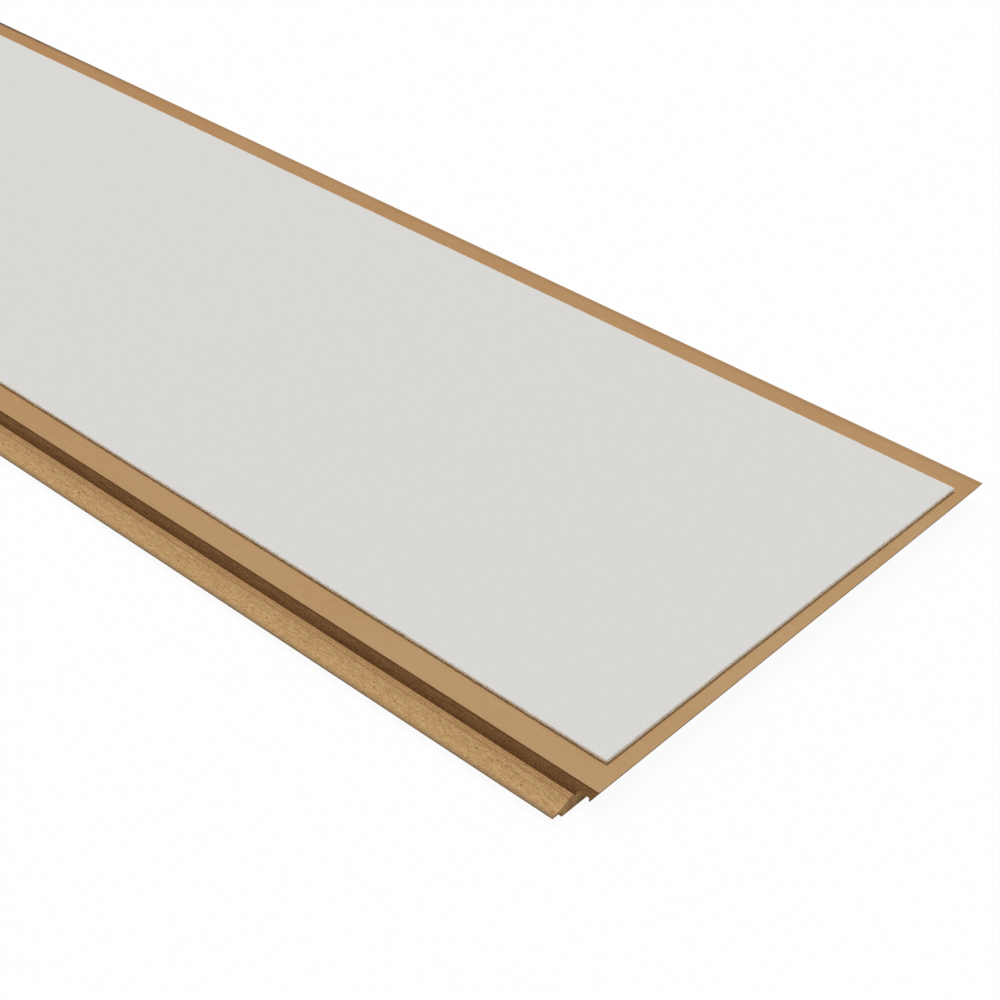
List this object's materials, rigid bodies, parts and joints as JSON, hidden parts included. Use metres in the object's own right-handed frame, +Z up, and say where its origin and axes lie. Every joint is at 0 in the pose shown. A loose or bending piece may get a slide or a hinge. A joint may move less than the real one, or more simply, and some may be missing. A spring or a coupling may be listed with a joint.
{
  "type": "laminate floor plank",
  "caption": "Click-lock laminate floor plank lying decor face down, with tongue and groove edges and a thin foam underlay sheet glued to its back.",
  "frame": {"origin": "centre of the decor face, which is the face the plank lies on", "axes": "+X along the plank towards the end with the locking strip, +Y across it towards the side with the groove, +Z up towards the underlay"},
  "size_m": [1.2065, 0.2015, 0.0095],
  "materials": {
    "fibreboard": "smooth backing paper on the back, milled fibreboard edges, satin oak print on the decor face",
    "foam": "matt closed-cell polyethylene foam"
  },
  "bodies": {
    "root": {"plank_board": "fibreboard", "underlay_pad": "foam"}
  },
  "joints": []
}
